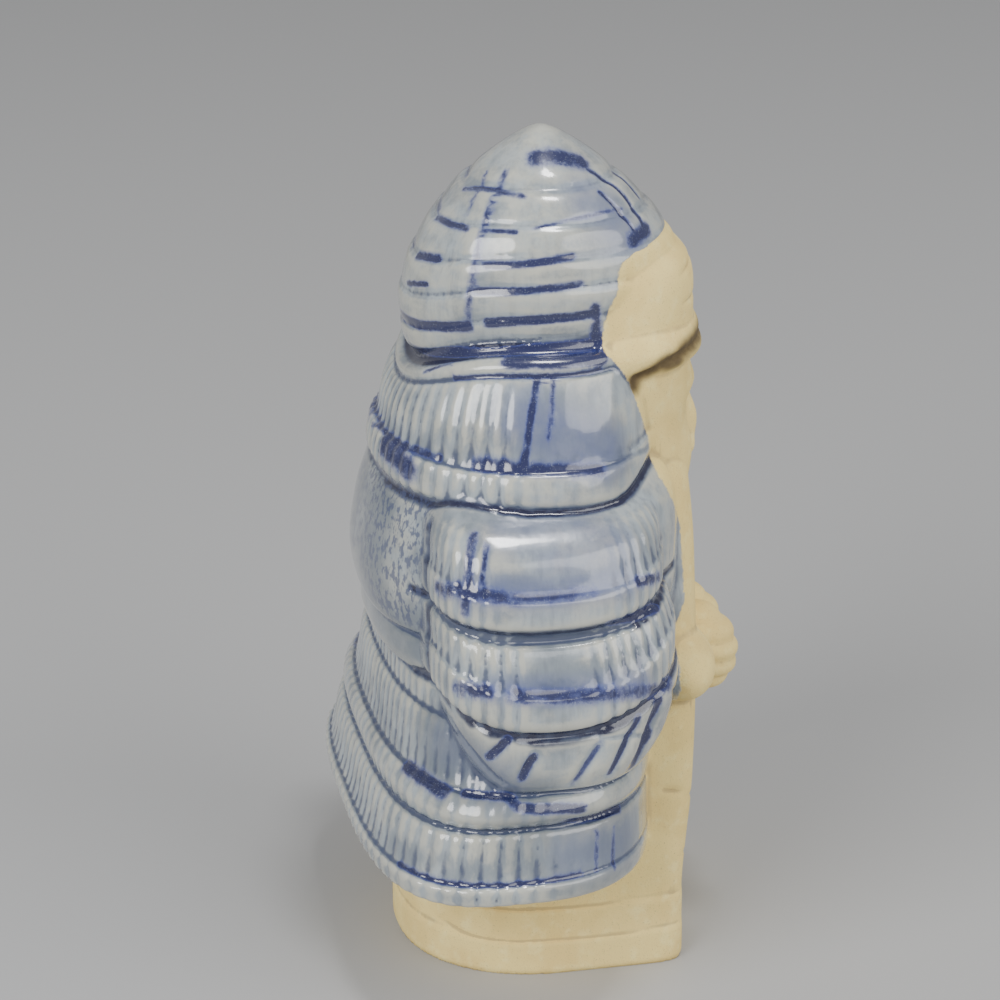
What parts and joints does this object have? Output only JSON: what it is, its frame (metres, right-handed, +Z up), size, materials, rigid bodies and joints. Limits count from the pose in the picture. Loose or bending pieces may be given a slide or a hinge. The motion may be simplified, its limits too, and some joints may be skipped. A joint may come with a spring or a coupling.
{
  "type": "glazed stoneware warrior figure",
  "caption": "Small slip-cast stoneware figure of an armoured warrior on a low plinth, blue-grey glazed at the back and sides, bare clay in front.",
  "frame": {"origin": "centre of the plinth's flat underside", "axes": "+Z up through the helmet, the figure faces -Y and its right hand is at -X"},
  "size_m": [0.0932, 0.0722, 0.15],
  "materials": {
    "glazed_stoneware": "glossy blue-grey glaze with cobalt strokes over bare buff clay"
  },
  "bodies": {
    "root": {"warrior_figure": "glazed_stoneware"}
  },
  "joints": []
}
